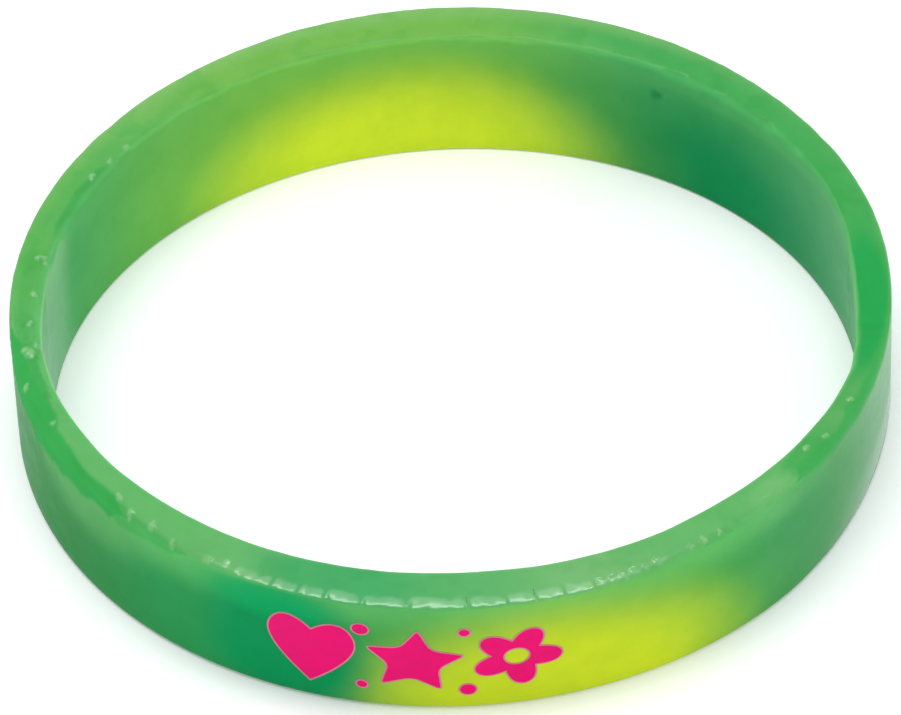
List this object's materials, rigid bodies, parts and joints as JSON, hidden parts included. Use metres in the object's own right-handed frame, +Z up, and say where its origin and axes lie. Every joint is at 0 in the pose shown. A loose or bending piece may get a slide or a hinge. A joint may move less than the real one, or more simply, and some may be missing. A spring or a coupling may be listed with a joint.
{
  "type": "silicone mood bracelet",
  "caption": "Closed one-piece wristband of soft silicone rubber with rounded edges, which stretches over the hand and changes colour where it is warm.",
  "frame": {"origin": "on the surface that the band lies on, under the middle of its oval outline", "axes": "+Z up through the hollow, +X along the oval's longer width, -Y to the front of the band, where its print would be"},
  "size_m": [0.0666, 0.0624, 0.012],
  "materials": {
    "silicone": "satin green silicone that turns yellow-green where it is warm",
    "print_ink": "flat pink ink with a thin pale edge, printed on the silicone"
  },
  "bodies": {
    "root": {"band": "silicone"}
  },
  "joints": []
}
